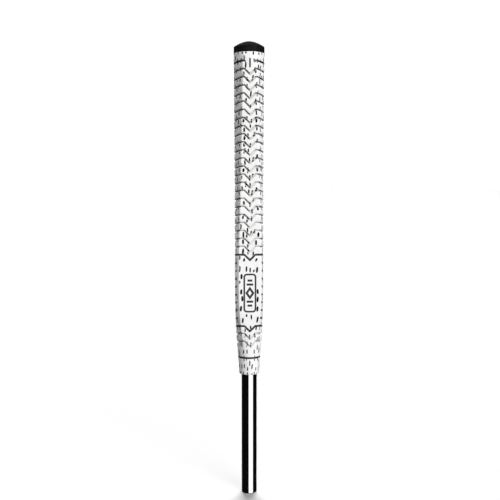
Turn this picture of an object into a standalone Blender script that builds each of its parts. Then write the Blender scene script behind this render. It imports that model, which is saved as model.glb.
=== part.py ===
"""Pistol putter grip of corded rubber, fitted on a stub of stepped steel shaft.

Units are metres. +Z runs up the shaft's axis to the butt, with z = 0 at the shaft's cut foot. The grip's
flat front panel faces -Y, and +X is to the right of someone looking at the panel.

The pieces are the end cap, the grooved outer sleeve, the underlisting inside it, the build-up tape and
the shaft. Each is one closed solid.
"""

import math

import bmesh
import bpy

# ---- Driving dimensions ---------------------------------------------------------------------------

GAP = 0.0003                    # clearance between pieces that rest on each other

STUB_LENGTH = 0.0996            # bare shaft below the grip's mouth
SLEEVE_LENGTH = 0.2571          # mouth to the seam under the end cap
CAP_SIDE_HEIGHT = 0.0050        # straight side of the end cap, from the seam up
CAP_DOME_RISE = 0.0045

MOUTH_Z = STUB_LENGTH
SEAM_Z = MOUTH_Z + SLEEVE_LENGTH
SHOULDER_Z = SEAM_Z + CAP_SIDE_HEIGHT
TOP_Z = SHOULDER_Z + CAP_DOME_RISE

# The outer section of the grip, at heights above the mouth. Each row gives the height, the half width,
# the depth of the front and of the back from the shaft's axis, the half width of the flat panel, and how
# round the section is: 0 is a flat panel with creased edges, and 1 is an ellipse.
SECTIONS = (
    (0.0000, 0.00805, 0.00805, 0.00805, 0.0040, 1.0),
    (0.0125, 0.00880, 0.00860, 0.00880, 0.0046, 1.0),
    (0.0250, 0.00985, 0.00915, 0.00965, 0.0056, 0.7),
    (0.0405, 0.01078, 0.00975, 0.01045, 0.0075, 0.2),
    (0.0600, 0.01128, 0.01020, 0.01105, 0.0089, 0.0),
    (0.0840, 0.01138, 0.01040, 0.01130, 0.00925, 0.0),
    (0.1100, 0.01143, 0.01060, 0.01140, 0.0088, 0.0),
    (0.1420, 0.01152, 0.01090, 0.01165, 0.0077, 0.0),
    (0.1850, 0.01178, 0.01130, 0.01275, 0.0068, 0.0),
    (0.2200, 0.01200, 0.01160, 0.01410, 0.0061, 0.0),
    (0.2420, 0.01210, 0.01172, 0.01435, 0.0058, 0.2),
    (0.2571, 0.01225, 0.01180, 0.01395, 0.0056, 0.7),
)
SIDE_AIM = 0.0020               # where the side face would meet the widest line, in front of the axis
WIDEST_BEHIND = 0.0015          # how far behind the axis a flat section is widest

# The tread: grooves a quarter inch apart, each a chevron on the panel and a falling line on the sides.
GROOVE_PITCH = 0.00635
GROOVE_HALF_WIDTH = 0.00070
GROOVE_DEPTH = 0.00100
TOP_GROOVE_Z = SEAM_Z - 0.00695
PANEL_GROOVE = 24               # the groove that closes the upper tread, counted from the top one
FOOT_GROOVE = 33                # the groove that opens the lower tread
LAST_GROOVE = 35
RING_GROOVE = 37                # a plain ring, with no chevron
RING_EXTRA = 0.0010             # the ring is this much further down than a whole number of pitches
TREAD_BOW = 0.0006              # how far the middle of the tread sits above an even pitch
CHEVRON_HALF_WIDTH = 0.0042
CHEVRON_DROP = 0.0042           # from the flats down to the chevron's tip
SIDE_DROP = 0.00210             # from the panel's edge down to the widest line
BACK_DROP = 0.0028              # from the panel's edge down to the middle of the back

SIDE_COLUMNS = 4                # points on a side face, from the crease to the widest line
BACK_COLUMNS = 5                # points from the widest line to the middle of the back

# The steel shaft: a tube that grows by small steps towards the butt.
SHAFT_RADIUS = 0.0063
SHAFT_WALL = 0.0006
SHAFT_STEP = 0.000175           # growth in radius at each step
SHAFT_STEPS = 6
FIRST_STEP_Z = MOUTH_Z + 0.0204
STEP_SPACING = 0.0381
STEP_HEIGHT = 0.0012            # length of the little cone at each step
FOOT_CHAMFER = 0.0002
ROUND_STEPS = 32

SHAFT_TOP_Z = SEAM_Z - 0.0040
TAPE_THICKNESS = 0.00025
TAPE_FOOT_Z = MOUTH_Z + 0.0175
TAPE_TAIL = 0.0100              # how far the tape's tail is tucked into the butt

UNDERLISTING_FOOT_Z = MOUTH_Z + 0.0504
UNDERLISTING_WALL = 0.0009
CORE_RADIUS_FOOT = 0.00746      # the underlisting's bore, at its foot
CORE_RADIUS_TOP = 0.00840

MOUTH_BORE = SHAFT_RADIUS + GAP
TAPED_BORE = 0.00733            # the sleeve's bore over the tape, below the underlisting
MOUTH_BORE_HEIGHT = 0.0150
LEAD_IN = 0.0030                # length of the cone between those two bores
LIP_RADIUS = 0.0005             # rounding of the sleeve's mouth

SPIGOT_RADIUS = 0.0093
VENT_RADIUS = 0.0015
VENT_FLARE = 0.0006
DOME_RINGS = 7


# ---- The grip's outer shape -----------------------------------------------------------------------

def section_at(height):
    """The section's five values at a height above the mouth, on a smooth curve through SECTIONS."""
    rows = SECTIONS
    height = min(max(height, rows[0][0]), rows[-1][0])
    index = 0
    while index < len(rows) - 2 and height > rows[index + 1][0]:
        index += 1
    low, high = rows[index], rows[index + 1]
    span = high[0] - low[0]
    t = (height - low[0]) / span
    values = []
    for column in range(1, 6):
        rise = (high[column] - low[column]) / span
        start = end = rise
        if index > 0:
            start = joined_slope(rows[index - 1], low, high, column)
        if index < len(rows) - 2:
            end = joined_slope(low, high, rows[index + 2], column)
        blend = t * t * (3.0 - 2.0 * t)
        values.append(low[column] * (1.0 - blend) + high[column] * blend
                      + span * start * t * (1.0 - t) ** 2 - span * end * t * t * (1.0 - t))
    return values


def joined_slope(before, here, after, column):
    """Slope at a row of SECTIONS: the harmonic mean of its two sides, which never overshoots."""
    left = (here[column] - before[column]) / (here[0] - before[0])
    right = (after[column] - here[column]) / (after[0] - here[0])
    if left * right <= 0.0:
        return 0.0
    return 2.0 * left * right / (left + right)


def half_outline(height):
    """Points from the middle of the front to the middle of the back, on the right-hand side."""
    wide, front, back, panel, roundness = section_at(height)
    flatness = 1.0 - roundness
    widest_y = WIDEST_BEHIND * flatness
    points = []
    for x in (0.0, 0.5 * CHEVRON_HALF_WIDTH, min(CHEVRON_HALF_WIDTH, 0.75 * panel)):
        points.append((x, front_y(x, wide, front, roundness)))
    for index in range(SIDE_COLUMNS + 1):
        t = index / SIDE_COLUMNS
        flat_x = panel * (1 - t) ** 2 + wide * (2 * t * (1 - t) + t * t)
        flat_y = -front * (1 - t) ** 2 - SIDE_AIM * 2 * t * (1 - t) + widest_y * t * t
        turn = math.asin(panel / wide)
        turn += (math.pi / 2 - turn) * t
        round_x = wide * math.sin(turn)
        round_y = -front * math.cos(turn)
        points.append((flat_x * flatness + round_x * roundness, flat_y * flatness + round_y * roundness))
    for index in range(1, BACK_COLUMNS + 1):
        turn = math.pi / 2 * index / BACK_COLUMNS
        points.append((wide * math.cos(turn), widest_y + (back - widest_y) * math.sin(turn)))
    return points


def front_y(x, wide, front, roundness):
    """Depth of the front at x, between a flat panel and an ellipse."""
    return -front * (1.0 - roundness + roundness * math.sqrt(1.0 - (x / wide) ** 2))


def mirrored(half):
    """The whole closed outline, counter-clockwise from the middle of the front."""
    return half + [(-x, y) for x, y in reversed(half[1:-1])]


def chevron_drop(half):
    """How far a tread groove falls at each point of half_outline, from its level at the panel's edge."""
    drops = []
    for index in range(len(half)):
        if index < 3:
            drops.append(CHEVRON_DROP * (1.0 - 0.5 * index))
        elif index <= 3 + SIDE_COLUMNS:
            drops.append(SIDE_DROP * (index - 3) / SIDE_COLUMNS)
        else:
            t = (index - 3 - SIDE_COLUMNS) / BACK_COLUMNS
            drops.append(SIDE_DROP + (BACK_DROP - SIDE_DROP) * math.sin(t * math.pi / 2))
    return drops


def groove_shape(number):
    """How a groove is drawn: the share of its chevron, of its side drop, and where it is cut."""
    if number == RING_GROOVE:
        return 0.0, 0.0, "all"
    if number == 0:
        return 0.0, 0.55, "sides"
    if number == PANEL_GROOVE:
        return 1.0, 0.6, "all"
    if PANEL_GROOVE < number < FOOT_GROOVE:
        return 0.0, 1.0, "back"
    return 1.0, 1.0, "all"


def groove_level(number):
    """Height of a groove at the panel's edge."""
    level = TOP_GROOVE_Z - number * GROOVE_PITCH
    if number == RING_GROOVE:
        return level - RING_EXTRA
    return level + TREAD_BOW * max(0.0, math.sin(math.pi * number / FOOT_GROOVE))


def cut_depth(where, column):
    """Depth of a groove at one point of half_outline."""
    first = {"all": 0, "sides": 2, "back": 5}[where]
    return GROOVE_DEPTH if column >= first else 0.0


def sleeve_ring(level, number, depth_share):
    """One ring of the sleeve's outside. It follows a groove's line, and sinks into it by depth_share."""
    chevron, side, where = groove_shape(number)
    base = half_outline(level - MOUTH_Z)
    drops = chevron_drop(base)
    half = []
    for index in range(len(base)):
        share = chevron if index < 3 else side
        z = level - share * drops[index]
        x, y = half_outline(z - MOUTH_Z)[index]
        sink = cut_depth(where, index) * depth_share
        shrink = 1.0 - sink / math.hypot(x, y)
        half.append((x * shrink, y * shrink, z))
    return half + [(-x, y, z) for x, y, z in reversed(half[1:-1])]


def flat_ring(level, inset=0.0):
    """One level ring of the grip's outline, drawn in by inset."""
    ring = []
    for x, y in mirrored(half_outline(level - MOUTH_Z)):
        shrink = 1.0 - inset / math.hypot(x, y)
        ring.append((x * shrink, y * shrink, level))
    return ring


def round_ring(level, radius, count):
    """One level circle of count points, the first of them at the middle of the front."""
    start = -math.pi / 2
    return [(radius * math.cos(start + 2 * math.pi * i / count),
             radius * math.sin(start + 2 * math.pi * i / count), level) for i in range(count)]


# ---- Building blocks ------------------------------------------------------------------------------

def clear_scene():
    for obj in list(bpy.data.objects):
        bpy.data.objects.remove(obj, do_unlink=True)


def make_material(name, color, roughness, metallic=0.0):
    material = bpy.data.materials.new(name)
    material.use_nodes = True
    shader = material.node_tree.nodes["Principled BSDF"]
    shader.inputs["Base Color"].default_value = (*color, 1.0)
    shader.inputs["Roughness"].default_value = roughness
    shader.inputs["Metallic"].default_value = metallic
    material.diffuse_color = (*color, 1.0)
    return material


def add_object(name, mesh, material, smooth_angle=30.0):
    obj = bpy.data.objects.new(name, mesh)
    bpy.context.collection.objects.link(obj)
    mesh.materials.append(material)
    mesh.shade_smooth()
    mesh.set_sharp_from_angle(angle=math.radians(smooth_angle))
    return obj


def lofted(name, rings, material):
    """A closed skin through rings of equal count, down the outside and back up the inside."""
    bm = bmesh.new()
    loops = [[bm.verts.new(point) for point in ring] for ring in rings]
    for here, there in zip(loops, loops[1:] + loops[:1]):
        count = len(here)
        for i in range(count):
            j = (i + 1) % count
            bm.faces.new((here[i], there[i], there[j], here[j]))
    mesh = bpy.data.meshes.new(name)
    bm.to_mesh(mesh)
    bm.free()
    return add_object(name, mesh, material)


def turned(name, profile, material):
    """A round piece: a closed profile of (radius, height) turned about the Z axis by a Screw modifier."""
    mesh = bpy.data.meshes.new(name)
    points = [(radius, 0.0, height) for radius, height in profile]
    edges = [(i, (i + 1) % len(points)) for i in range(len(points))]
    mesh.from_pydata(points, edges, [])
    obj = add_object(name, mesh, material)
    screw = obj.modifiers.new("Turn", "SCREW")
    screw.axis = "Z"
    screw.angle = 2 * math.pi
    screw.steps = ROUND_STEPS
    screw.render_steps = ROUND_STEPS
    screw.use_merge_vertices = True
    screw.merge_threshold = 0.00001
    screw.use_smooth_shade = True
    return obj


# ---- The pieces -----------------------------------------------------------------------------------

def stepped_line(offset, top, bottom):
    """The stepped outside of the shaft, moved out by offset, as points from top down to bottom."""
    points = [(SHAFT_RADIUS + SHAFT_STEPS * SHAFT_STEP + offset, top)]
    for number in reversed(range(SHAFT_STEPS)):
        level = FIRST_STEP_Z + number * STEP_SPACING
        points.append((SHAFT_RADIUS + (number + 1) * SHAFT_STEP + offset, level + STEP_HEIGHT))
        points.append((SHAFT_RADIUS + number * SHAFT_STEP + offset, level))
    points.append((SHAFT_RADIUS + offset, bottom))
    return points


def build_shaft():
    outside = stepped_line(0.0, SHAFT_TOP_Z, FOOT_CHAMFER)
    outside.append((SHAFT_RADIUS - FOOT_CHAMFER, 0.0))
    inside = list(reversed(stepped_line(-SHAFT_WALL, SHAFT_TOP_Z, 0.0)))
    steel = make_material("chromed_steel", (0.78, 0.78, 0.80), 0.08, 1.0)
    return turned("shaft", outside + inside, steel)


def build_tape():
    """Tape round the shaft, over its butt edge, with a tail tucked inside."""
    near = GAP
    far = GAP + TAPE_THICKNESS
    tail_foot = SHAFT_TOP_Z - TAPE_TAIL
    outside = stepped_line(far, SHAFT_TOP_Z + far, TAPE_FOOT_Z)
    under = list(reversed(stepped_line(near, SHAFT_TOP_Z + near, TAPE_FOOT_Z)))
    shaft_bore = SHAFT_RADIUS + SHAFT_STEPS * SHAFT_STEP - SHAFT_WALL
    tail = [(shaft_bore - near, SHAFT_TOP_Z + near), (shaft_bore - near, tail_foot),
            (shaft_bore - far, tail_foot), (shaft_bore - far, SHAFT_TOP_Z + far)]
    paper = make_material("tape", (0.62, 0.52, 0.36), 0.7)
    return turned("grip_tape", outside + under + tail, paper)


def build_underlisting():
    top = SHAFT_TOP_Z + GAP + TAPE_THICKNESS
    profile = [(CORE_RADIUS_TOP + UNDERLISTING_WALL, top),
               (CORE_RADIUS_FOOT + UNDERLISTING_WALL, UNDERLISTING_FOOT_Z),
               (CORE_RADIUS_FOOT, UNDERLISTING_FOOT_Z),
               (CORE_RADIUS_TOP, top)]
    rubber = make_material("core_rubber", (0.05, 0.05, 0.052), 0.75)
    return turned("underlisting", profile, rubber)


def sleeve_outside():
    """Rings of the sleeve's outside, from the seam down to the mouth."""
    rings = [flat_ring(SEAM_Z - GAP / 2)]
    numbers = list(range(LAST_GROOVE + 1)) + [RING_GROOVE]
    for number in numbers:
        level = groove_level(number)
        rings.append(sleeve_ring(level + GROOVE_HALF_WIDTH, number, 0.0))
        rings.append(sleeve_ring(level, number, 1.0))
        rings.append(sleeve_ring(level - GROOVE_HALF_WIDTH, number, 0.0))
    rings.append(flat_ring(MOUTH_Z + LIP_RADIUS))
    rings.append(flat_ring(MOUTH_Z + 0.3 * LIP_RADIUS, 0.3 * LIP_RADIUS))
    rings.append(flat_ring(MOUTH_Z, LIP_RADIUS))
    return rings


def build_sleeve():
    rings = sleeve_outside()
    count = len(rings[0])
    clear = UNDERLISTING_WALL + GAP
    ledge = UNDERLISTING_FOOT_Z - GAP
    bore = [(MOUTH_Z, MOUTH_BORE),
            (MOUTH_Z + MOUTH_BORE_HEIGHT, MOUTH_BORE),
            (MOUTH_Z + MOUTH_BORE_HEIGHT + LEAD_IN, TAPED_BORE),
            (ledge, TAPED_BORE),
            (ledge, CORE_RADIUS_FOOT + clear),
            (SEAM_Z - GAP / 2, CORE_RADIUS_TOP + clear)]
    rings += [round_ring(level, radius, count) for level, radius in bore]
    rubber = make_material("white_cord_rubber", (0.83, 0.83, 0.82), 0.55)
    return lofted("grip_sleeve", rings, rubber)


def build_end_cap():
    """The cap: a spigot inside the sleeve's top, a flush side, a dome, and a vent through the middle."""
    outline = flat_ring(SHOULDER_Z)
    count = len(outline)
    spigot_foot = SHAFT_TOP_Z + 2 * GAP + TAPE_THICKNESS
    rings = [round_ring(spigot_foot, VENT_RADIUS, count),
             round_ring(spigot_foot, SPIGOT_RADIUS, count),
             round_ring(SEAM_Z + GAP / 2, SPIGOT_RADIUS, count),
             flat_ring(SEAM_Z + GAP / 2)]
    rings.append(outline)
    for index in range(1, DOME_RINGS):
        share = 1.0 - index / DOME_RINGS
        height = SHOULDER_Z + CAP_DOME_RISE * dome_height(share)
        rings.append([(x * share, y * share, height) for x, y, z in outline])
    rings.append(round_ring(TOP_Z - 0.1 * VENT_FLARE, VENT_RADIUS + VENT_FLARE, count))
    rings.append(round_ring(TOP_Z - VENT_FLARE, VENT_RADIUS, count))
    rings.reverse()
    rubber = make_material("black_rubber", (0.012, 0.012, 0.013), 0.6)
    return lofted("end_cap", rings, rubber)


def dome_height(share):
    """Height of the dome, from 0 at its edge to 1 in the middle, at a share of the outline's size."""
    return 1.0 - share ** 1.9


def main():
    clear_scene()
    build_shaft()
    build_tape()
    build_underlisting()
    build_sleeve()
    build_end_cap()


main()
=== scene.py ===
import math
import random
from collections import namedtuple

import bpy
import numpy as np
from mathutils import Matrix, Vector
from mathutils.bvhtree import BVHTree


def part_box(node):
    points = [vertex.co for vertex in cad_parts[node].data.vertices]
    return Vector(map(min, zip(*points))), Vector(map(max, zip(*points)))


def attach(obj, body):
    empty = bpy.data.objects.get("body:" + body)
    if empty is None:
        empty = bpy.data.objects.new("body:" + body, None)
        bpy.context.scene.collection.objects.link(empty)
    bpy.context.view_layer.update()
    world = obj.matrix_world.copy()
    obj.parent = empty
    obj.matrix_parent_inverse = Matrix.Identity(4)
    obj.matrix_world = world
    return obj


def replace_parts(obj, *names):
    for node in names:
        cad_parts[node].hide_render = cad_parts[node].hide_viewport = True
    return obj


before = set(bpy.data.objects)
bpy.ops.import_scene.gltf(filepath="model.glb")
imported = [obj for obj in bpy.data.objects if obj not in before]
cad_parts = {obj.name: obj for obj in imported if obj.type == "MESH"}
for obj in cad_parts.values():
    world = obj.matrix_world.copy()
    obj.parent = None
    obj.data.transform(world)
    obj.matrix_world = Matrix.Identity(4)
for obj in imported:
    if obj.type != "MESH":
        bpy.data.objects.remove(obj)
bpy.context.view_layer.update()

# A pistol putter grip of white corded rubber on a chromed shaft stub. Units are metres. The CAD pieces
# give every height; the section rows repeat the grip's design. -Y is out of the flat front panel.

# ---- Sizes from the frame -------------------------------------------------------------------------

SLEEVE_LOW, SLEEVE_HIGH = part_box("grip_sleeve")
CAP_LOW, CAP_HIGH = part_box("end_cap")
SHAFT_TOP_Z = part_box("shaft")[1][2]

MOUTH_Z = SLEEVE_LOW[2]
SEAM_Z = SLEEVE_HIGH[2]
SLEEVE_LENGTH = SEAM_Z - MOUTH_Z
TOP_Z = CAP_HIGH[2]

# Height above the mouth, half width, depth of the front, depth of the back, half width of the flat
# panel, and how round the section is.
SECTIONS = np.array((
    (0.0000, 0.00805, 0.00805, 0.00805, 0.0040, 1.0),
    (0.0125, 0.00880, 0.00860, 0.00880, 0.0046, 1.0),
    (0.0250, 0.00985, 0.00915, 0.00965, 0.0056, 0.7),
    (0.0405, 0.01078, 0.00975, 0.01045, 0.0075, 0.2),
    (0.0600, 0.01128, 0.01020, 0.01105, 0.0089, 0.0),
    (0.0840, 0.01138, 0.01040, 0.01130, 0.00925, 0.0),
    (0.1100, 0.01143, 0.01060, 0.01140, 0.0088, 0.0),
    (0.1420, 0.01152, 0.01090, 0.01165, 0.0077, 0.0),
    (0.1850, 0.01178, 0.01130, 0.01275, 0.0068, 0.0),
    (0.2200, 0.01200, 0.01160, 0.01410, 0.0061, 0.0),
    (0.2420, 0.01210, 0.01172, 0.01435, 0.0058, 0.2),
    (0.2571, 0.01225, 0.01180, 0.01395, 0.0056, 0.7),
))
SIDE_AIM = 0.0020               # where a side face would meet the widest line, in front of the axis
WIDEST_BEHIND = 0.0015          # how far behind the axis a flat section is widest
CREASE_RUN = 0.0008             # how far the rounded crease reaches along the panel and down the side

GROOVE_PITCH = 0.00635
GROOVE_DEPTH = 0.00125
TOP_GROOVE_Z = SEAM_Z - 0.00695
RING_EXTRA = 0.0010             # the ring is this much further down than a whole number of pitches
TREAD_BOW = 0.0006              # how far the middle of the tread sits above an even pitch
PANEL_GROOVE = 24               # the groove that closes the upper tread, counted from the top one
FOOT_GROOVE = 33                # the groove that opens the lower tread
LAST_GROOVE = 35
RING_GROOVE = 37                # a plain ring, with no chevron
CHEVRON_HALF_WIDTH = 0.0042
SIDE_DROP = 0.0021              # from the panel's edge down to the widest line
BACK_DROP = 0.0028              # from the panel's edge down to the middle of the back
SIDE_SHARES = {0: 0.55, PANEL_GROOVE: 0.6}      # grooves that have only a share of the side drop
SOFT = 0.00022                  # rounding of a chevron's tip and shoulders
PAINTED_GROOVES = (0, *range(PANEL_GROOVE, FOOT_GROOVE + 1), RING_GROOVE)
TOP_OPENING = (0.0034, 0.0005)  # where the top groove starts to open, from the middle, and its run
ARM_END = 0.0003                # a chevron's arm loses its stretch within this of its upper end
RIGHT = 0
LEFT = 1

# Where along the right and the left side face its own grooves start to open, and the run they do it in.
SIDE_OPENINGS = ((0.0, 0.08), (0.24, 0.10))

# A groove's own cross-section: how far from its middle, and the share of its depth there.
GROOVE_PROFILE = ((0.00096, 0.0), (0.00080, 0.02), (0.00072, 0.12), (0.00066, 0.45), (0.00060, 0.84),
                  (0.00048, 0.97), (0.0, 1.0),
                  (-0.00048, 0.97), (-0.00060, 0.84), (-0.00066, 0.45), (-0.00072, 0.12),
                  (-0.00080, 0.02), (-0.00096, 0.0))
PAINT_PROFILE = ((0.00082, 0.05), (0.00074, -0.04), (0.0, -0.05), (-0.00074, -0.04), (-0.00082, 0.05))
PAINT_BACK = 0.95               # how deep in the groove the paint's own back lies
BLOCK_CROWN = 0.00005           # how far the rubber swells between two grooves
BLOCK_ROW = 0.0021              # spacing of the rows there
FOOT_ROWS = 7                   # rows between the ring and the mouth
ARM_STRETCH = math.sqrt(2) - 1  # a chevron's arms run at 45 degrees, and keep their width across

# How much painted shade darkens the grooves on each stretch of the outline, low on the grip and high on it.
# The left half gets more, standing in for the shadow that the light from the right leaves in its grooves.
GROOVE_SHADE_RIGHT = {"chevron": (0.25, 0.45), "panel": (0.12, 0.75), "crease": (0.30, 0.75)}
GROOVE_SHADE_LEFT = {"chevron": (0.58, 0.85), "panel": (0.20, 0.80), "crease": (0.42, 0.80)}
GROOVE_SHADE_ELSEWHERE = (0.46, 0.75)
SHADE_RISE_FROM = 0.25                # the share of the sleeve's height above which the painted groove shade grows darker
SHADE_RISE_POWER = 1.5

MOUTH_LIP = 0.00060
SEAM_LIP = 0.00020
SEAM_RINGS = 4                  # rings in the rounding of the sleeve's edge at the seam
MOUTH_RINGS = 6
SHAFT_HUG = 0.00003             # the mouth's rubber all but touches the shaft

STUB_RADIUS = 0.0063
SHAFT_WALL = 0.0006
SHAFT_STEPS = 6
SHAFT_STEP = 0.000175           # growth in radius at each step
FIRST_STEP_Z = MOUTH_Z + 0.0204
STEP_SPACING = 0.0381
STEP_HEIGHT = 0.0012            # length of the little cone at each step
FOOT_CHAMFER = 0.00055
SHAFT_COLUMNS = 160

# The bore of the sleeve, as radius and height from its mouth to the seam: it hugs the shaft, clears the
# tape, then holds the underlisting.
TAPED_BORE = 0.00733
BORE = (
    (STUB_RADIUS + 0.00035, MOUTH_Z),
    (STUB_RADIUS + SHAFT_HUG, MOUTH_Z + 0.00035),
    (STUB_RADIUS + SHAFT_HUG, MOUTH_Z + 0.0150),
    (TAPED_BORE, MOUTH_Z + 0.0180),
    (TAPED_BORE, MOUTH_Z + 0.0501),
    (0.00866, MOUTH_Z + 0.0501),
    (0.00960, SEAM_Z),
)

CAP_RISE = 0.0045
CAP_LIP = 0.00015               # rounding of the cap's edge at the seam
CAP_SEAM = 0.00004              # the fine gap between the cap and the sleeve
CAP_SHOULDER = 0.0006           # rounding between the cap's side and its dome
DOME_RINGS = 40
DOME_POWER = 1.9                # 2 would be a parabola, and less is more pointed
SPIGOT_RADIUS = 0.0093
VENT_RADIUS = 0.0015

LIFT = 0.00004                  # how far a fibre stands out of the rubber
ROOT = 0.00012                  # how far its sides reach down into the rubber
RAY_START = 0.05                # from outside the grip, for rays that look for its surface

EMBLEM_Z = MOUTH_Z + 0.0672
EMBLEM_HEIGHT = 0.0300
EMBLEM_WIDTH = 0.0090
EMBLEM_CORNER = 0.0022
STROKE = 0.0015
MARK_STROKE = 0.0019
SIGHT_LINE_Z = TOP_GROOVE_Z - 0.0017
SIGHT_LINE_LENGTH = 0.0072

FIBRE_MARGIN = 0.0003           # how far they stay from the seam and the mouth
FIBRES_A_PITCH = 15
FIBRE_LENGTHS = (0.0030, 0.0052)
FIBRE_WIDTHS = (0.00140, 0.00180)
FIBRE_TILT = (3.0, 3.5)         # mean and spread, in degrees
FIBRE_STEP = 0.00028            # spacing of the points along a fibre
FIBRE_TRIES = 12
FIBRE_RADIUS = 0.0115           # turns a distance round the grip into an angle
FIBRE_GAP = 0.0022              # least distance between two fibres, round the grip from middle to middle
FIBRE_END_GAP = 0.0006          # and along it, from end to end
EDGE_FIBRES = 17                # short ones cut off by the seam, and as many by the mouth
EDGE_MARGIN = 0.00005
EDGE_FIBRE_LENGTHS = (0.0014, 0.0028)
EDGE_FIBRE_WIDTH = 0.00140
PANEL_FIBRE_WIDTH = 0.00160
PANEL_DEPTH = 0.0103            # from the axis to the plain panel
PANEL_TURN = 1.0                # half of the turn, in radians, where fibres keep off the plain panel
PANEL_LOW = EMBLEM_Z - 0.0265
PANEL_HIGH = EMBLEM_Z + 0.0300
SIGHT_LINE_TURN = 0.2           # and half of the turn where they keep off the sight line
SIGHT_LINE_LOW = TOP_GROOVE_Z - 0.0080

# Fibres on the plain panel: distance from its middle, height above the emblem's middle, length and tilt.
PANEL_FIBRES = (
    (-0.0083, 0.0287, 0.0035, 0), (-0.0045, 0.0267, 0.0030, 5), (0.0050, 0.0267, 0.0030, 18),
    (-0.0083, 0.0194, 0.0050, 5), (-0.0027, 0.0194, 0.0046, 3), (0.0002, 0.0186, 0.0040, 0),
    (0.0056, 0.0186, 0.0048, 4), (-0.0066, 0.0133, 0.0044, 2), (0.0031, 0.0178, 0.0022, 20),
    (-0.0084, 0.0089, 0.0024, 0), (-0.0069, 0.0010, 0.0044, 2), (0.0062, 0.0012, 0.0042, -4),
    (-0.0061, -0.0044, 0.0046, 0), (0.0062, -0.0052, 0.0046, 3), (-0.0073, -0.0125, 0.0046, 6),
    (0.0062, -0.0129, 0.0044, 2), (-0.0027, -0.0182, 0.0026, 0), (0.0012, -0.0194, 0.0042, -3),
    (-0.0060, -0.0222, 0.0044, 4), (0.0065, -0.0216, 0.0052, 8),
)

# A row of the sleeve's skin: the height of its line, its shares of the chevron and of the side drop, its
# distance from the line, its share of the groove's depth, and the number of its groove.
Row = namedtuple("Row", "level chevron side offset depth groove")

# A column of the skin: its chevron drop and side drop, how open the top groove and the side-only grooves
# are there, and how much a chevron's arm stretches the groove's width.
Column = namedtuple("Column", "chevron side top_open side_open stretch")


# ---- Camera, light and floor ----------------------------------------------------------------------

FOCAL = 56.16
CAMERA_DISTANCE = 0.6288
CAMERA_HEIGHT = 0.2529
CAMERA_SIDE = 0.0007
CAMERA_PITCH = 4.76
CAMERA_AZIMUTH = -3.4           # the front panel is turned a little to the right of the camera

# Name, azimuth, elevation, angular width, strength, whether it lights only the floor, and whether the
# chrome mirrors it.
LIGHTS = (
    ("key", 28.0, 28.0, 22.0, 3.75, False, True),
    ("left_fill", -112.0, 50.0, 60.0, 1.25, False, True),
    ("back_fill", 150.0, 35.0, 60.0, 2.0, False, False),
    ("rear_fill", -158.0, 30.0, 60.0, 2.2, False, False),
    ("floor_key", 27.0, 27.0, 32.0, 1.80, True, True),
    ("floor_back", 174.0, 24.0, 52.0, 10.8, True, True),
    ("floor_wide", 174.0, 30.0, 90.0, 1.43, True, True),
)

# Azimuth, half width and brightness of each strip light that the chrome mirrors.
STRIPS = ((22.6, 32.6, 1.25), (165.0, 10.0, 0.9), (-165.0, 10.0, 0.9))
STRIP_FEATHER = 2.0
MIRRORED_LOW = -0.75            # the mirrored room fades out downwards between these two sines
MIRRORED_HIGH = -0.45
DARK_ROOM = 0.003
FILL = 0.13
BACKDROP = 1.1
FLOOR_TONE = 0.50
FLOOR_SIZE = 60.0
FLOOR_LEVEL = -0.00005          # a hair under the shaft's foot, so that the two faces don't coincide


def direction(azimuth, elevation):
    """Unit vector towards a place in the studio. Azimuth 0 is in front of the panel, 90 to the right."""
    a = math.radians(azimuth)
    e = math.radians(elevation)
    return Vector((math.sin(a) * math.cos(e), -math.cos(a) * math.cos(e), math.sin(e)))


def make_camera():
    data = bpy.data.cameras.new("camera")
    data.lens = FOCAL
    data.sensor_width = 36.0
    data.clip_start = 0.01
    data.clip_end = 100.0
    camera = bpy.data.objects.new("camera", data)
    bpy.context.collection.objects.link(camera)
    turn = math.radians(CAMERA_AZIMUTH)
    aside = Vector((math.cos(turn), math.sin(turn), 0)) * CAMERA_SIDE
    camera.location = direction(CAMERA_AZIMUTH, 0) * CAMERA_DISTANCE + aside + Vector((0, 0, CAMERA_HEIGHT))
    camera.rotation_euler = (math.radians(90 - CAMERA_PITCH), 0, turn)
    bpy.context.scene.camera = camera


def make_sun(name, azimuth, elevation, width, strength, floor, only_floor, mirrored):
    """A soft light of one angular width, for the floor only or for all but the floor."""
    data = bpy.data.lights.new(name, "SUN")
    data.energy = strength
    data.angle = math.radians(width)
    light = bpy.data.objects.new(name, data)
    bpy.context.collection.objects.link(light)
    light.rotation_mode = "QUATERNION"
    light.rotation_quaternion = direction(azimuth, elevation).to_track_quat("Z", "Y")
    light.visible_glossy = mirrored
    lit = bpy.data.collections.new(name + "_lights")
    lit.objects.link(floor)
    lit.collection_objects[0].light_linking.link_state = "INCLUDE" if only_floor else "EXCLUDE"
    light.light_linking.receiver_collection = lit


def math_node(tree, operation, *inputs):
    node = tree.nodes.new("ShaderNodeMath")
    node.operation = operation
    for socket, value in zip(node.inputs, inputs):
        if isinstance(value, (int, float)):
            socket.default_value = value
        else:
            tree.links.new(value, socket)
    return node.outputs[0]


def pick(tree, switch, yes, no):
    """yes where switch is 1, and no where it is 0."""
    node = tree.nodes.new("ShaderNodeMix")
    node.data_type = "FLOAT"
    tree.links.new(switch, node.inputs[0])
    for socket, value in ((node.inputs[3], yes), (node.inputs[2], no)):
        if isinstance(value, (int, float)):
            socket.default_value = value
        else:
            tree.links.new(value, socket)
    return node.outputs[0]


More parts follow.
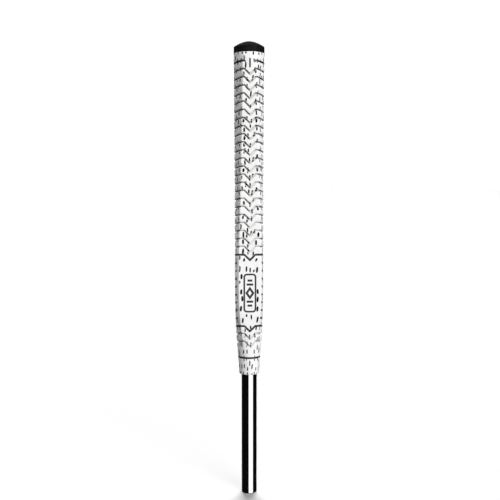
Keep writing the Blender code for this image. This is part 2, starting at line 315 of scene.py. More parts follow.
def strip(tree, azimuth, centre, half_width):
    """A tall studio strip light, as the world's brightness by direction: 1 in it and 0 away from it."""
    offset = math_node(tree, "SUBTRACT", azimuth, math.radians(centre))
    offset = math_node(tree, "WRAP", offset, math.pi, -math.pi)
    offset = math_node(tree, "ABSOLUTE", offset)
    edge = tree.nodes.new("ShaderNodeMapRange")
    edge.interpolation_type = "SMOOTHSTEP"
    tree.links.new(offset, edge.inputs["Value"])
    edge.inputs["From Min"].default_value = math.radians(half_width - STRIP_FEATHER)
    edge.inputs["From Max"].default_value = math.radians(half_width + STRIP_FEATHER)
    edge.inputs["To Min"].default_value = 1.0
    edge.inputs["To Max"].default_value = 0.0
    return edge.outputs["Result"]


def make_world():
    """White behind the object, a dark room with strip lights in its reflections, and a soft fill."""
    world = bpy.data.worlds.new("studio")
    bpy.context.scene.world = world
    world.use_nodes = True
    tree = world.node_tree
    tree.nodes.clear()
    output = tree.nodes.new("ShaderNodeOutputWorld")
    background = tree.nodes.new("ShaderNodeBackground")
    tree.links.new(background.outputs[0], output.inputs[0])
    where = tree.nodes.new("ShaderNodeTexCoord")
    axes = tree.nodes.new("ShaderNodeSeparateXYZ")
    tree.links.new(where.outputs["Generated"], axes.inputs[0])
    toward = math_node(tree, "MULTIPLY", axes.outputs["Y"], -1.0)
    azimuth = math_node(tree, "ARCTAN2", axes.outputs["X"], toward)
    total = DARK_ROOM
    for centre, half_width, level in STRIPS:
        total = math_node(tree, "MULTIPLY_ADD", strip(tree, azimuth, centre, half_width), level, total)
    under = tree.nodes.new("ShaderNodeMapRange")
    under.interpolation_type = "SMOOTHSTEP"
    tree.links.new(axes.outputs["Z"], under.inputs["Value"])
    under.inputs["From Min"].default_value = MIRRORED_LOW
    under.inputs["From Max"].default_value = MIRRORED_HIGH
    mirrored = math_node(tree, "MULTIPLY", total, under.outputs["Result"])
    path = tree.nodes.new("ShaderNodeLightPath")
    level = pick(tree, path.outputs["Is Glossy Ray"], mirrored, FILL)
    level = pick(tree, path.outputs["Is Camera Ray"], BACKDROP, level)
    background.inputs["Color"].default_value = (1, 1, 1, 1)
    tree.links.new(level, background.inputs["Strength"])


def make_floor():
    mesh = bpy.data.meshes.new("floor")
    half = FLOOR_SIZE / 2
    corners = [(x, y, FLOOR_LEVEL) for x, y in ((-half, -half), (half, -half), (half, half), (-half, half))]
    mesh.from_pydata(corners, [], [(0, 1, 2, 3)])
    floor = bpy.data.objects.new("floor", mesh)
    bpy.context.collection.objects.link(floor)
    material = bpy.data.materials.new("pale_floor")
    material.use_nodes = True
    shader = material.node_tree.nodes["Principled BSDF"]
    shader.inputs["Base Color"].default_value = (FLOOR_TONE, FLOOR_TONE, FLOOR_TONE, 1)
    shader.inputs["Roughness"].default_value = 1.0
    shader.inputs["Specular IOR Level"].default_value = 0.0
    mesh.materials.append(material)
    floor.visible_glossy = False
    floor.visible_diffuse = False
    return floor


def make_studio():
    make_camera()
    make_world()
    floor = make_floor()
    for name, azimuth, elevation, width, strength, only_floor, mirrored in LIGHTS:
        make_sun(name, azimuth, elevation, width, strength, floor, only_floor, mirrored)
    bpy.context.scene.view_settings.view_transform = "Standard"


# ---- The grip's surface ---------------------------------------------------------------------------

def section_slopes():
    """Slopes at the rows of SECTIONS that join them smoothly and never overshoot."""
    heights = SECTIONS[:, 0]
    rises = np.diff(SECTIONS[:, 1:], axis=0) / np.diff(heights)[:, None]
    slopes = np.zeros((len(SECTIONS), 5))
    slopes[0] = rises[0]
    slopes[-1] = rises[-1]
    left = rises[:-1]
    right = rises[1:]
    same_way = left * right > 0
    total = np.where(same_way, left + right, 1.0)
    slopes[1:-1] = np.where(same_way, 2 * left * right / total, 0.0)
    return slopes


SLOPES = section_slopes()


def section_at(height):
    """Half width, front, back, panel and roundness at heights above the mouth, as arrays."""
    height = np.clip(height, 0.0, SECTIONS[-1, 0])
    row = np.clip(np.searchsorted(SECTIONS[:, 0], height, side="right") - 1, 0, len(SECTIONS) - 2)
    span = SECTIONS[row + 1, 0] - SECTIONS[row, 0]
    t = ((height - SECTIONS[row, 0]) / span)[..., None]
    blend = t * t * (3 - 2 * t)
    curve = SECTIONS[row, 1:] * (1 - blend) + SECTIONS[row + 1, 1:] * blend
    curve += span[..., None] * (SLOPES[row] * t * (1 - t) ** 2 - SLOPES[row + 1] * t * t * (1 - t))
    return [curve[..., i] for i in range(5)]


# The right half of the outline is cut in five stretches: the chevron's width, the rest of the panel, the
# rounded crease, the side face and the back. Each stretch has its count of columns.
STRETCHES = (("chevron", 20), ("panel", 7), ("crease", 6), ("side", 18), ("back", 32))


def half_columns():
    """(stretch, position from 0 to 1) of each column, from the middle of the front to that of the back."""
    columns = []
    for name, count in STRETCHES:
        for index in range(count):
            t = index / count
            if name == "chevron":
                t = 0.5 - 0.5 * math.cos(math.pi * t)
            columns.append((name, t))
    return columns + [("back", 1.0)]


def outline(name, t, height):
    """Points (x, y) of one column of the outline at the given heights above the mouth."""
    wide, front, back, panel, roundness = section_at(height)
    flatness = 1 - roundness
    widest_y = WIDEST_BEHIND * flatness
    start_x = panel - CREASE_RUN
    reach = 2 * np.hypot(wide - panel, front - SIDE_AIM)
    begin = CREASE_RUN / reach
    if name in ("chevron", "panel"):
        edge = np.minimum(CHEVRON_HALF_WIDTH, 0.75 * panel)
        x = edge * t if name == "chevron" else edge + (start_x - edge) * t
        flat_y = -front
        round_y = -front * np.sqrt(1 - (x / wide) ** 2)
        return x, flat_y * flatness + round_y * roundness
    if name == "back":
        turn = math.pi / 2 * t
        return wide * math.cos(turn), widest_y + (back - widest_y) * math.sin(turn)
    if name == "crease":
        end_x, end_y = side_curve(wide, front, panel, widest_y, begin)
        flat_x = start_x * (1 - t) ** 2 + panel * 2 * t * (1 - t) + end_x * t * t
        flat_y = -front * ((1 - t) ** 2 + 2 * t * (1 - t)) + end_y * t * t
        share = t * begin
    else:
        share = begin + (1 - begin) * t
        flat_x, flat_y = side_curve(wide, front, panel, widest_y, share)
    first = np.arcsin(start_x / wide)
    turn = first + (math.pi / 2 - first) * share
    return (flat_x * flatness + wide * np.sin(turn) * roundness,
            flat_y * flatness - front * np.cos(turn) * roundness)


def side_curve(wide, front, panel, widest_y, t):
    """The side face of a flat section, from the crease to the widest line."""
    x = panel * (1 - t) ** 2 + wide * (2 * t * (1 - t) + t * t)
    y = -front * (1 - t) ** 2 - SIDE_AIM * 2 * t * (1 - t) + widest_y * t * t
    return x, y


def column_facts(name, t):
    """The Column at one place on the outline."""
    x = CHEVRON_HALF_WIDTH * t if name == "chevron" else CHEVRON_HALF_WIDTH * (1 + t)
    if name not in ("chevron", "panel"):
        x = 3 * CHEVRON_HALF_WIDTH
    tip = math.sqrt(x * x + SOFT * SOFT) - SOFT
    left = CHEVRON_HALF_WIDTH - tip
    chevron = 0.5 * (left + math.sqrt(left * left + SOFT * SOFT)) - 0.25 * SOFT * SOFT / (x + SOFT)
    side = {"chevron": 0.0, "panel": 0.0, "crease": 0.0, "side": t, "back": 1.0}[name]
    drop = SIDE_DROP * side
    if name == "back":
        drop += (BACK_DROP - SIDE_DROP) * math.sin(math.pi / 2 * t)
    top_open = ease((x - TOP_OPENING[0]) / TOP_OPENING[1])
    side_open = [1.0 if name == "back" else ease((side - start) / run) for start, run in SIDE_OPENINGS]
    stretch = ARM_STRETCH * (1 - ease((x - CHEVRON_HALF_WIDTH + ARM_END) / (2 * ARM_END)))
    return Column(max(chevron, 0.0), drop, top_open, side_open, stretch)


def ease(t):
    t = min(max(t, 0.0), 1.0)
    return t * t * (3 - 2 * t)


def groove_level(number):
    """Height of a groove's line, before its chevron and side drops."""
    level = TOP_GROOVE_Z - number * GROOVE_PITCH
    if number == RING_GROOVE:
        return level - RING_EXTRA
    return level + TREAD_BOW * max(0.0, math.sin(math.pi * number / FOOT_GROOVE))


def groove_rows():
    """Rows of the sleeve's outside, from the seam down to the mouth."""
    rows = [Row(SEAM_Z - SEAM_LIP, 0.0, 0.0, 0.0, 0.0, None)]
    for number in list(range(LAST_GROOVE + 1)) + [RING_GROOVE]:
        level = groove_level(number)
        chevron, side = groove_shares(number)
        start = rows[-1][:4]
        end = (level, chevron, side, GROOVE_PROFILE[0][0])
        span = start[0] + start[3] - level - GROOVE_PROFILE[0][0]
        between = max(2, round(span / BLOCK_ROW))
        for index in range(1, between + 1):
            t = index / (between + 1)
            crown = -BLOCK_CROWN / GROOVE_DEPTH * 4 * t * (1 - t) if number else 0.0
            rows.append(Row(*(a + (b - a) * t for a, b in zip(start, end)), crown, None))
        rows += [Row(level, chevron, side, offset, depth, number) for offset, depth in GROOVE_PROFILE]
    start = rows[-1]
    foot = MOUTH_Z + MOUTH_LIP
    for index in range(1, FOOT_ROWS + 1):
        t = index / FOOT_ROWS
        level = start.level + (foot - start.level) * t
        rows.append(Row(level, 0.0, 0.0, start.offset * (1 - t), 0.0, None))
    return rows


def groove_shares(number):
    """Share of the chevron and of the side drop in a groove's line."""
    if number == RING_GROOVE:
        return 0.0, 0.0
    if PANEL_GROOVE < number < FOOT_GROOVE:
        return 0.0, 1.0
    return 1.0, SIDE_SHARES.get(number, 1.0)


def opening_of(number, column, hand):
    """How much of a groove's depth is cut at one column, on one hand of the grip."""
    if number == 0:
        return column.top_open
    if number is not None and PANEL_GROOVE < number < FOOT_GROOVE:
        return column.side_open[hand]
    return 1.0


def skin_grid(rows):
    """The grip's outside for the rows: points, as rows by columns by 3, and how deep each is to be sunk."""
    places = half_columns()
    level, chevron, side, offset = np.array([row[:4] for row in rows]).T
    half = np.zeros((len(rows), len(places), 3))
    sinks = np.zeros((2, len(rows), len(places)))
    for index, (name, t) in enumerate(places):
        column = column_facts(name, t)
        z = level - chevron * column.chevron - side * column.side + offset * (1 + chevron * column.stretch)
        x, y = outline(name, t, z - MOUTH_Z)
        half[:, index, 0] = x
        half[:, index, 1] = y
        half[:, index, 2] = z
        for hand in (RIGHT, LEFT):
            openings = [row.depth * opening_of(row.groove, column, hand) for row in rows]
            sinks[hand, :, index] = GROOVE_DEPTH * np.array(openings)
    mirror = half[:, -2:0:-1] * np.array((-1.0, 1.0, 1.0))
    grid = np.concatenate((half, mirror), axis=1)
    sink = np.concatenate((sinks[RIGHT], sinks[LEFT][:, -2:0:-1]), axis=1)
    return grid, sink


def grid_normals(grid):
    """Outward unit normals of a grid of rows going down and columns going round to the right."""
    down = np.gradient(grid, axis=0)
    wrapped = np.concatenate((grid[:, -1:], grid, grid[:, :1]), axis=1)
    across = wrapped[:, 2:] - wrapped[:, :-2]
    normals = np.cross(down, across)
    return normals / np.linalg.norm(normals, axis=2, keepdims=True)


def ring_of(radius, level, count):
    """A level circle with its first point at the middle of the front."""
    angles = 2 * math.pi * np.arange(count) / count
    ring = np.zeros((count, 3))
    ring[:, 0] = radius * np.sin(angles)
    ring[:, 1] = -radius * np.cos(angles)
    ring[:, 2] = level
    return ring


def drawn_in(ring, inset, level):
    """A ring moved towards the axis by inset, at another level."""
    away = ring[:, :2] / np.linalg.norm(ring[:, :2], axis=1, keepdims=True)
    moved = ring.copy()
    moved[:, :2] -= away * inset
    moved[:, 2] = level
    return moved


# ---- Meshes ---------------------------------------------------------------------------------------

def add_mesh(name, points, faces, material, smooth_angle=40.0):
    """A piece from points and faces, smooth but for edges sharper than smooth_angle."""
    mesh = bpy.data.meshes.new(name)
    mesh.from_pydata([tuple(p) for p in points], [], faces)
    mesh.materials.append(material)
    mesh.shade_smooth()
    mesh.set_sharp_from_angle(angle=math.radians(smooth_angle))
    piece = bpy.data.objects.new(name, mesh)
    bpy.context.collection.objects.link(piece)
    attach(piece, "root")
    return piece


def grid_faces(rows, columns, closed_rows):
    """Quads of a grid that wraps round its columns, and round its rows too where closed_rows is true."""
    faces = []
    for r in range(rows if closed_rows else rows - 1):
        below = (r + 1) % rows
        for c in range(columns):
            right = (c + 1) % columns
            faces.append((r * columns + c, below * columns + c,
                          below * columns + right, r * columns + right))
    return faces


def make_cover(material):
    """The outer sleeve, with its tread cut in, its rounded mouth and seam edge, and its bore."""
    grid, sink = skin_grid(groove_rows())
    outside = grid - grid_normals(grid) * sink[:, :, None]
    count = outside.shape[1]
    top = outside[0]
    foot = outside[-1]
    rings = []
    for index in range(SEAM_RINGS):
        turn = math.pi / 2 * index / SEAM_RINGS
        inset = SEAM_LIP * (1 - math.sin(turn))
        rings.append(drawn_in(top, inset, SEAM_Z - SEAM_LIP * (1 - math.cos(turn))))
    rings += list(outside)
    for index in range(1, MOUTH_RINGS + 1):
        turn = math.pi / 2 * index / MOUTH_RINGS
        inset = MOUTH_LIP * (1 - math.cos(turn))
        rings.append(drawn_in(foot, inset, MOUTH_Z + MOUTH_LIP * (1 - math.sin(turn))))
    for radius, level in BORE:
        rings.append(ring_of(radius, level, count))
    points = np.concatenate(rings)
    piece = add_mesh("grip_cover", points, grid_faces(len(rings), count, True), material)
    # painted shade: a point attribute that darkens the rubber in the grooves by how deep they are there,
    # more on the upper grip and on the left half
    painted_groove_shade = np.zeros((len(rings), count))
    height = (outside[:, :1, 2] - MOUTH_Z) / SLEEVE_LENGTH
    in_groove = np.clip(sink / GROOVE_DEPTH, 0, 1)
    painted_groove_shade[SEAM_RINGS:SEAM_RINGS + len(outside)] = in_groove * groove_shade_by_column(height)
    attribute = piece.data.attributes.new("painted_groove_shade", "FLOAT", "POINT")
    attribute.data.foreach_set("value", painted_groove_shade.ravel().astype(np.float32))
    return piece


def groove_shade_by_column(height):
    """Painted shade in the grooves at shares of the sleeve's height: darker on the upper grip, and darker
    on the left half than on the right.
    """
    upper_share = np.clip((height - SHADE_RISE_FROM) / (1 - SHADE_RISE_FROM), 0, 1) ** SHADE_RISE_POWER
    right = groove_shade_of_half(upper_share, GROOVE_SHADE_RIGHT)
    left = groove_shade_of_half(upper_share, GROOVE_SHADE_LEFT)
    return np.concatenate((right, left[:, -2:0:-1]), axis=1)


def groove_shade_of_half(upper_share, amounts):
    """The painted groove shade in one half's columns, between their low and high amounts by how high they
    lie on the grip.
    """
    ends = [amounts.get(name, GROOVE_SHADE_ELSEWHERE) for name, t in half_columns()]
    return np.concatenate([low + (high - low) * upper_share for low, high in ends], axis=1)


def make_accents(material):
    """Paint that fills the painted grooves almost to their edges."""
    points = []
    faces = []
    for number in PAINTED_GROOVES:
        chevron, side = groove_shares(number)
        level = groove_level(number)
        rows = [Row(level, chevron, side, offset, depth, number) for offset, depth in PAINT_PROFILE]
        grid, sink = skin_grid(rows)
        normals = grid_normals(grid)
        face = grid - normals * sink[:, :, None]
        back = grid - normals * (GROOVE_DEPTH * PAINT_BACK)
        add_band(points, faces, face, back, painted_columns(number, face.shape[1]))
    return add_mesh("accent_lines", points, faces, material)


def painted_columns(number, count):
    """The columns that a painted line covers: all the way round, or where its groove is open."""
    columns = [column_facts(name, t) for name, t in half_columns()]
    first, last = (next(i for i, column in enumerate(columns) if opening_of(number, column, hand) > 0.5)
                   for hand in (RIGHT, LEFT))
    if first == 0:
        return list(range(count)) + [0]
    return list(range(first, count - last + 1))


def add_band(points, faces, face, back, columns):
    """A closed strip along columns: face is its outer surface and back its inner one."""
    loop = columns[0] == columns[-1]
    if loop:
        columns = columns[:-1]
    rows = list(face) + list(back[::-1])
    wide = len(rows)
    base = len(points)
    for column in columns:
        points.extend(row[column] for row in rows)
    for i in range(len(columns) if loop else len(columns) - 1):
        j = (i + 1) % len(columns)
        for k in range(wide):
            n = (k + 1) % wide
            faces.append((base + i * wide + k, base + i * wide + n,
                          base + j * wide + n, base + j * wide + k))
    if not loop:
        faces.append(tuple(base + k for k in range(wide))[::-1])
        faces.append(tuple(base + (len(columns) - 1) * wide + k for k in range(wide)))


# ---- Materials ------------------------------------------------------------------------------------

def new_material(name, color, roughness, metallic=0.0):
    material = bpy.data.materials.new(name)
    material.use_nodes = True
    tree = material.node_tree
    shader = tree.nodes["Principled BSDF"]
    shader.inputs["Base Color"].default_value = (*color, 1)
    shader.inputs["Roughness"].default_value = roughness
    shader.inputs["Metallic"].default_value = metallic
    return material, tree, shader


NOISE_LOW = 0.3
NOISE_HIGH = 0.7


def noise(tree, scale, detail=2.0, stretch=None):
    """Noise in the object's own space. scale is in bumps a metre, and stretch thins it on an axis."""
    where = tree.nodes.new("ShaderNodeTexCoord")
    source = where.outputs["Object"]
    if stretch:
        mapping = tree.nodes.new("ShaderNodeMapping")
        mapping.inputs["Scale"].default_value = stretch
        tree.links.new(source, mapping.inputs["Vector"])
        source = mapping.outputs["Vector"]
    node = tree.nodes.new("ShaderNodeTexNoise")
    node.inputs["Scale"].default_value = scale
    node.inputs["Detail"].default_value = detail
    tree.links.new(source, node.inputs["Vector"])
    return node.outputs["Fac"]


def spread(tree, source, low, high):
    """A noise's middle range spread between two values."""
    node = tree.nodes.new("ShaderNodeMapRange")
    tree.links.new(source, node.inputs["Value"])
    node.inputs["From Min"].default_value = NOISE_LOW
    node.inputs["From Max"].default_value = NOISE_HIGH
    node.inputs["To Min"].default_value = low
    node.inputs["To Max"].default_value = high
    return node.outputs["Result"]


def color_between(tree, source, low, high):
    """A noise's middle range as a run between two colours."""
    ramp = tree.nodes.new("ShaderNodeValToRGB")
    ramp.color_ramp.elements[0].color = (*low, 1)
    ramp.color_ramp.elements[0].position = NOISE_LOW
    ramp.color_ramp.elements[1].color = (*high, 1)
    ramp.color_ramp.elements[1].position = NOISE_HIGH
    tree.links.new(source, ramp.inputs["Fac"])
    return ramp.outputs["Color"]


def vary_color(tree, shader, source, low, high):
    tree.links.new(color_between(tree, source, low, high), shader.inputs["Base Color"])


def vary_roughness(tree, shader, source, low, high):
    tree.links.new(spread(tree, source, low, high), shader.inputs["Roughness"])


def bump(tree, shader, source, distance, after=None):
    """Bumps of a height in metres on the shader, on top of the bumps of after."""
    node = tree.nodes.new("ShaderNodeBump")
    node.inputs["Distance"].default_value = distance
    tree.links.new(source, node.inputs["Height"])
    if after is not None:
        tree.links.new(after, node.inputs["Normal"])
    tree.links.new(node.outputs["Normal"], shader.inputs["Normal"])
    return node.outputs["Normal"]


def white_rubber():
    """Matt white rubber, with painted shade darkening its grooves."""
    material, tree, shader = new_material("white_rubber", (0.84, 0.84, 0.835), 0.55)
    unshaded_color = color_between(tree, noise(tree, 160, 3), (0.83, 0.83, 0.825), (0.88, 0.88, 0.875))
    painted_groove_shade = tree.nodes.new("ShaderNodeAttribute")
    painted_groove_shade.attribute_name = "painted_groove_shade"
    shade_mix = tree.nodes.new("ShaderNodeMix")
    shade_mix.data_type = "RGBA"
    tree.links.new(painted_groove_shade.outputs["Fac"], shade_mix.inputs[0])
    tree.links.new(unshaded_color, shade_mix.inputs[6])
    # painted shade: where the groove attribute is 1 the rubber turns this dark grey
    shade_mix.inputs[7].default_value = (0.10, 0.10, 0.10, 1)
    tree.links.new(shade_mix.outputs[2], shader.inputs["Base Color"])
    vary_roughness(tree, shader, noise(tree, 700), 0.50, 0.66)
    grain = bump(tree, shader, noise(tree, 3200), 0.00006)
    bump(tree, shader, noise(tree, 420, 1), 0.00010, grain)
    shader.inputs["Specular IOR Level"].default_value = 0.35
    return material


def black_rubber():
    """The cap's dull, finely stippled rubber."""
    material, tree, shader = new_material("black_rubber", (0.006, 0.006, 0.0065), 0.6)
    vary_color(tree, shader, noise(tree, 300, 3), (0.0045, 0.0045, 0.005), (0.008, 0.008, 0.0085))
    vary_roughness(tree, shader, noise(tree, 900), 0.52, 0.70)
    bump(tree, shader, noise(tree, 2200, 3), 0.00010)
    shader.inputs["Specular IOR Level"].default_value = 0.05
    return material


def core_rubber():
    """The underlisting's plain dark rubber."""
    material, tree, shader = new_material("core_rubber", (0.05, 0.05, 0.052), 0.75)
    vary_color(tree, shader, noise(tree, 400, 3), (0.04, 0.04, 0.042), (0.06, 0.06, 0.062))
    bump(tree, shader, noise(tree, 1500), 0.00008)
    return material


def crepe_tape():
    """Creped paper tape, with its wrinkles round the shaft."""
    material, tree, shader = new_material("crepe_tape", (0.62, 0.52, 0.36), 0.7)
    vary_color(tree, shader, noise(tree, 250, 4), (0.57, 0.47, 0.32), (0.67, 0.57, 0.40))
    bump(tree, shader, noise(tree, 400, 2, (1, 1, 6)), 0.00012)
    return material


def chrome():
    """Polished chrome, with faint marks along the shaft."""
    material, tree, shader = new_material("polished_chrome", (0.86, 0.865, 0.87), 0.06, 1.0)
    vary_roughness(tree, shader, noise(tree, 300, 3, (1, 1, 0.1)), 0.035, 0.085)
    bump(tree, shader, noise(tree, 160, 1, (1, 1, 0.3)), 0.000030)
    return material


def satin_paint():
    """Black paint with a satin sheen."""
    material, tree, shader = new_material("satin_paint", (0.007, 0.007, 0.0075), 0.5)
    vary_roughness(tree, shader, noise(tree, 900), 0.40, 0.58)
    vary_color(tree, shader, noise(tree, 500, 3), (0.005, 0.005, 0.0055), (0.011, 0.011, 0.0115))
    bump(tree, shader, noise(tree, 1800), 0.00004)
    return material


def cotton_cord():
    """Black cotton, with its threads along the cord."""
    material, tree, shader = new_material("cotton_cord", (0.012, 0.012, 0.013), 0.9)
    vary_color(tree, shader, noise(tree, 1400), (0.004, 0.004, 0.0045), (0.012, 0.012, 0.0125))
    bump(tree, shader, noise(tree, 5000, 2, (1, 1, 0.3)), 0.00012)
    shader.inputs["Specular IOR Level"].default_value = 0.15
    return material


# ---- Cord fibres, emblem and sight line --------------------------------------------------------------

def surface_of(piece):
    """A search tree of a piece's faces, to lay fine pieces on it."""
    mesh = piece.data
    return BVHTree.FromPolygons([v.co for v in mesh.vertices], [p.vertices for p in mesh.polygons])


def touch(tree, angle, level):
    """Where a level line towards the axis meets the surface, and the way out of the surface there."""
    out = Vector((math.sin(angle), -math.cos(angle), 0.0))
    place, normal, _, _ = tree.ray_cast(out * RAY_START + Vector((0, 0, level)), -out)
    return place, normal


def front_touch(tree, x, level):
    """Where a level line square to the front panel meets the surface."""
    place, normal, _, _ = tree.ray_cast(Vector((x, -RAY_START, level)), Vector((0, 1, 0)))
    return place, normal


def add_fibre(points, faces, tree, angle, level, length, width, tilt):
    """One cord fibre: a low rounded ridge with tapered ends, laid on the surface along its length."""
    steps = max(8, round(length / FIBRE_STEP))
    base = len(points)
    profile = ((-0.5, -ROOT), (-0.42, LIFT * 0.6), (0.0, LIFT), (0.42, LIFT * 0.6), (0.5, -ROOT))
    for step in range(steps + 1):
        t = step / steps
        along = (t - 0.5) * length
        taper = max(0.12, (1 - abs(2 * t - 1) ** 3) ** 0.5)
        for side, height in profile:
            across = side * width * taper + along * math.sin(tilt)
            place, normal = touch(tree, angle + across / FIBRE_RADIUS, level + along * math.cos(tilt))
            points.append(place + normal * height)
    wide = len(profile)
    for step in range(steps):
        for k in range(wide):
            n = (k + 1) % wide
            a = base + step * wide
            b = a + wide
            faces.append((a + k, a + n, b + n, b + k))
    faces.append(tuple(base + k for k in range(wide))[::-1])
    faces.append(tuple(base + steps * wide + k for k in range(wide)))


def make_fibres(tree, material):
    """Cord fibres strewn over the whole sleeve, with a row cut off by the seam and one by the mouth."""
    rng = random.Random(20)
    points = []
    faces = []
    taken = []
    for edge, way in ((SEAM_Z - EDGE_MARGIN, -1), (MOUTH_Z + EDGE_MARGIN, 1)):
        for slot in range(EDGE_FIBRES):
            length = rng.uniform(*EDGE_FIBRE_LENGTHS)
            level = edge + way * length / 2
            angle = 2 * math.pi * (slot + rng.uniform(0.2, 0.8)) / EDGE_FIBRES
            taken.append((angle, level, length))
            add_fibre(points, faces, tree, angle, level, length, EDGE_FIBRE_WIDTH, 0.0)
    for x, rise, length, tilt in PANEL_FIBRES:
        angle = math.atan2(x, PANEL_DEPTH)
        level = EMBLEM_Z + rise
        taken.append((angle, level, length))
        add_fibre(points, faces, tree, angle, level, length, PANEL_FIBRE_WIDTH, math.radians(tilt))
    low = MOUTH_Z + FIBRE_MARGIN
    high = SEAM_Z - FIBRE_MARGIN
    rows = round((high - low) / GROOVE_PITCH)
    for row in range(rows):
        for slot in range(FIBRES_A_PITCH):
            for _ in range(FIBRE_TRIES):
                length = rng.uniform(*FIBRE_LENGTHS)
                level = low + (row + rng.uniform(-0.1, 1.1)) * (high - low) / rows
                level = min(max(level, low + length / 2), high - length / 2)
                angle = 2 * math.pi * (slot + rng.uniform(-0.2, 1.2)) / FIBRES_A_PITCH
                if is_free(taken, angle, level, length):
                    taken.append((angle, level, length))
                    width = rng.uniform(*FIBRE_WIDTHS)
                    tilt = math.radians(rng.gauss(*FIBRE_TILT))
                    add_fibre(points, faces, tree, angle, level, length, width, tilt)
                    break
    return add_mesh("cord_fibres", points, faces, material)


def turn_between(angle, other=0.0):
    """How far two angles are apart, the short way round."""
    return abs((angle - other + math.pi) % (2 * math.pi) - math.pi)


def is_free(taken, angle, level, length):
    """True if a fibre would lie clear of the others, the plain panel and the sight line."""
    if turn_between(angle) < PANEL_TURN and PANEL_LOW < level < PANEL_HIGH:
        return False
    if turn_between(angle) < SIGHT_LINE_TURN and level > SIGHT_LINE_LOW:
        return False
    for other_angle, other_level, other_length in taken:
        gap = turn_between(angle, other_angle) * FIBRE_RADIUS
        if gap < FIBRE_GAP and abs(level - other_level) < (length + other_length) / 2 + FIBRE_END_GAP:
            return False
    return True


def arc(cx, cz, radius, start, end, count=10):
    """Points on an arc of a circle, from a start to an end angle in degrees."""
    return [(cx + radius * math.cos(math.radians(start + (end - start) * i / count)),
             cz + radius * math.sin(math.radians(start + (end - start) * i / count)))
            for i in range(count + 1)]


def emblem_strokes():
    """Strokes of the emblem, as (points, closed, width), about its middle: a frame, a diamond and bars."""
    x = EMBLEM_WIDTH / 2 - EMBLEM_CORNER
    z = EMBLEM_HEIGHT / 2 - EMBLEM_CORNER
    frame_line = (arc(x, z, EMBLEM_CORNER, 0, 90) + arc(-x, z, EMBLEM_CORNER, 90, 180)
                  + arc(-x, -z, EMBLEM_CORNER, 180, 270) + arc(x, -z, EMBLEM_CORNER, 270, 360))
    strokes = [(frame_line, True, STROKE)]
    strokes.append(([(0, 0.0038), (-0.0026, 0), (0, -0.0038), (0.0026, 0)], True, MARK_STROKE))
    for way in (-1, 1):
        for index in range(2):
            reach = 0.0026 - 0.0007 * index
            level = way * (0.0069 + 0.0032 * index)
            strokes.append(([(-reach, level), (reach, level)], False, MARK_STROKE))
    return strokes


def fine_path(path, closed, spacing=0.0006):
    """The same path with points at most spacing apart."""
    ends = path + path[:1] if closed else path
    fine = []
    for (x0, z0), (x1, z1) in zip(ends, ends[1:]):
        count = max(1, math.ceil(math.hypot(x1 - x0, z1 - z0) / spacing))
        fine += [(x0 + (x1 - x0) * i / count, z0 + (z1 - z0) * i / count) for i in range(count)]
    return fine if closed else fine + [path[-1]]


def add_stroke(points, faces, tree, path, closed, width):
    """A stroke of paint laid on the front panel: a low ridge with mitred corners."""
    path = fine_path(path, closed)
    count = len(path)
    base = len(points)
    profile = ((-0.5, -ROOT), (-0.44, LIFT * 1.4), (0.44, LIFT * 1.4), (0.5, -ROOT))
    for i, (x, z) in enumerate(path):
        before = path[i - 1] if closed or i else path[0]
        after = path[(i + 1) % count] if closed or i < count - 1 else path[-1]
        side = miter(before, (x, z), after)
        for across, height in profile:
            place, normal = front_touch(tree, x + side[0] * across * width,
                                        EMBLEM_Z + z + side[1] * across * width)
            points.append(place + normal * height)
    wide = len(profile)
    for i in range(count if closed else count - 1):
        j = (i + 1) % count
        for k in range(wide):
            n = (k + 1) % wide
            faces.append((base + i * wide + k, base + j * wide + k,
                          base + j * wide + n, base + i * wide + n))
    if not closed:
        faces.append(tuple(base + k for k in range(wide)))
        faces.append(tuple(base + (count - 1) * wide + k for k in range(wide))[::-1])


def miter(before, here, after):
    """The sideways step at a corner that keeps a stroke's width."""
    one = Vector((here[0] - before[0], here[1] - before[1]))
    two = Vector((after[0] - here[0], after[1] - here[1]))
    one = one.normalized() if one.length > 0 else two.normalized()
    two = two.normalized() if two.length > 0 else one
    mean = (one + two).normalized()
    scale = 1 / max(0.5, mean.dot(one))
    return (-mean[1] * scale, mean[0] * scale)


def make_emblem(tree, material):
    points = []
    faces = []
    for path, closed, width in emblem_strokes():
        add_stroke(points, faces, tree, path, closed, width)
    return add_mesh("emblem", points, faces, material)


def make_sight_line(tree, material):
    """The short line down the middle of the panel, near the cap, that helps to square the putter."""
    points = []
    faces = []
    middle = SIGHT_LINE_Z - EMBLEM_Z
    reach = SIGHT_LINE_LENGTH / 2
    add_stroke(points, faces, tree, [(0, middle + reach), (0, middle - reach)], False, STROKE)
    return add_mesh("sight_line", points, faces, material)


# ---- End cap and shaft ----------------------------------------------------------------------------

def make_cap(material):
    """The end cap: a spigot, a flush side with soft edges, a dome and a flared vent."""
    grid, _ = skin_grid([Row(SEAM_Z, 0.0, 0.0, 0.0, 0.0, None)])
    edge = grid[0]
    count = len(edge)
    seam = SEAM_Z + CAP_SEAM
    shoulder = TOP_Z - CAP_RISE
    rings = [ring_of(VENT_RADIUS, CAP_LOW[2], count), ring_of(SPIGOT_RADIUS, CAP_LOW[2], count),
             ring_of(SPIGOT_RADIUS, SEAM_Z, count)]
    for index in range(4):
        turn = math.pi / 2 * index / 3
        rings.append(drawn_in(edge, CAP_LIP * (1 - math.sin(turn)), seam + CAP_LIP * (1 - math.cos(turn))))
    for index in range(1, 5):
        rings.append(drawn_in(edge, 0.0, seam + (shoulder - CAP_SHOULDER - seam) * index / 4))
    dome = dome_rings(edge, shoulder)
    rings += soften_shoulder(edge, rings[-1], dome[0], shoulder) + dome
    top = dome[-1][0, 2]
    for flare, drop in ((0.0004, -0.00001), (0.0001, 0.0002), (0.0, 0.0006)):
        rings.append(ring_of(VENT_RADIUS + flare, top - drop, count))
    rings.reverse()
    points = np.concatenate(rings)
    return add_mesh("butt_cap", points, grid_faces(len(rings), count, True), material)


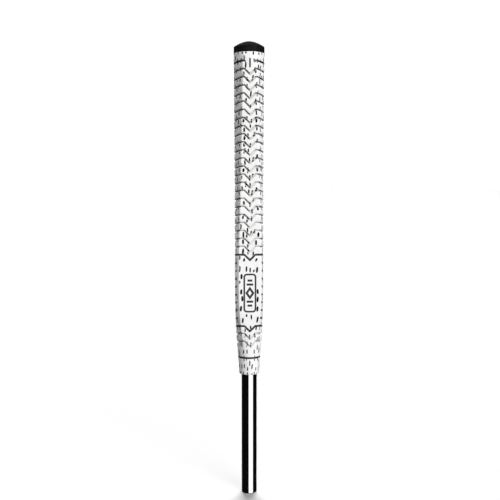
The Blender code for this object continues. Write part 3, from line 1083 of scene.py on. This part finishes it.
def dome_rings(edge, shoulder):
    """Rings of the cap's dome, from just inside its shoulder up to the vent."""
    rings = []
    for index in range(1, DOME_RINGS):
        share = 1 - index / DOME_RINGS
        ring = edge * np.array((share, share, 0.0))
        ring[:, 2] = shoulder + CAP_RISE * (1 - share ** DOME_POWER)
        if np.linalg.norm(ring[0, :2]) < VENT_RADIUS + 0.0006:
            break
        rings.append(ring)
    return rings


def soften_shoulder(edge, side_top, dome_start, shoulder):
    """Rings that round the corner between the cap's side and its dome."""
    corner = edge.copy()
    corner[:, 2] = shoulder
    rings = []
    for index in range(1, 5):
        t = index / 5
        rings.append(side_top * (1 - t) ** 2 + corner * 2 * t * (1 - t) + dome_start * t * t)
    return rings


def shaft_radius(number):
    """The shaft's outer radius above a number of steps."""
    return STUB_RADIUS + number * SHAFT_STEP


def make_shaft(material):
    """The shaft: a tube with its steps inside the grip, a rounded foot and a polished bore."""
    outside = [(shaft_radius(SHAFT_STEPS), SHAFT_TOP_Z)]
    for number in reversed(range(SHAFT_STEPS)):
        level = FIRST_STEP_Z + number * STEP_SPACING
        outside += [(shaft_radius(number + 1), level + STEP_HEIGHT), (shaft_radius(number), level)]
    for level in np.linspace(FIRST_STEP_Z - 0.002, FOOT_CHAMFER + 0.0004, 40):
        outside.append((STUB_RADIUS, float(level)))
    for index in range(5):
        turn = math.pi / 2 * index / 4
        outside.append((STUB_RADIUS - FOOT_CHAMFER * (1 - math.cos(turn)),
                        FOOT_CHAMFER * (1 - math.sin(turn))))
    bore = STUB_RADIUS - SHAFT_WALL
    inside = [(bore + 0.0001, 0.0), (bore, 0.0001)]
    for number in range(SHAFT_STEPS):
        level = FIRST_STEP_Z + number * STEP_SPACING
        inside += [(shaft_radius(number) - SHAFT_WALL, level),
                   (shaft_radius(number + 1) - SHAFT_WALL, level + STEP_HEIGHT)]
    inside.append((shaft_radius(SHAFT_STEPS) - SHAFT_WALL, SHAFT_TOP_Z))
    profile = outside + inside
    points = np.concatenate([ring_of(radius, level, SHAFT_COLUMNS) for radius, level in profile])
    faces = grid_faces(len(profile), SHAFT_COLUMNS, True)
    return add_mesh("steel_shaft", points, faces, material, 30.0)


# ---- Put together ---------------------------------------------------------------------------------

def dress(node, material):
    """Gives a CAD node that stays its finished material."""
    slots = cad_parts[node].data.materials
    slots.clear()
    slots.append(material)


def main():
    make_studio()
    cover = make_cover(white_rubber())
    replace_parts(cover, "grip_sleeve")
    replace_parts(make_cap(black_rubber()), "end_cap")
    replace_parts(make_shaft(chrome()), "shaft")
    paint = satin_paint()
    make_accents(paint)
    tree = surface_of(cover)
    make_emblem(tree, paint)
    make_sight_line(tree, paint)
    make_fibres(tree, cotton_cord())
    dress("underlisting", core_rubber())
    dress("grip_tape", crepe_tape())


main()
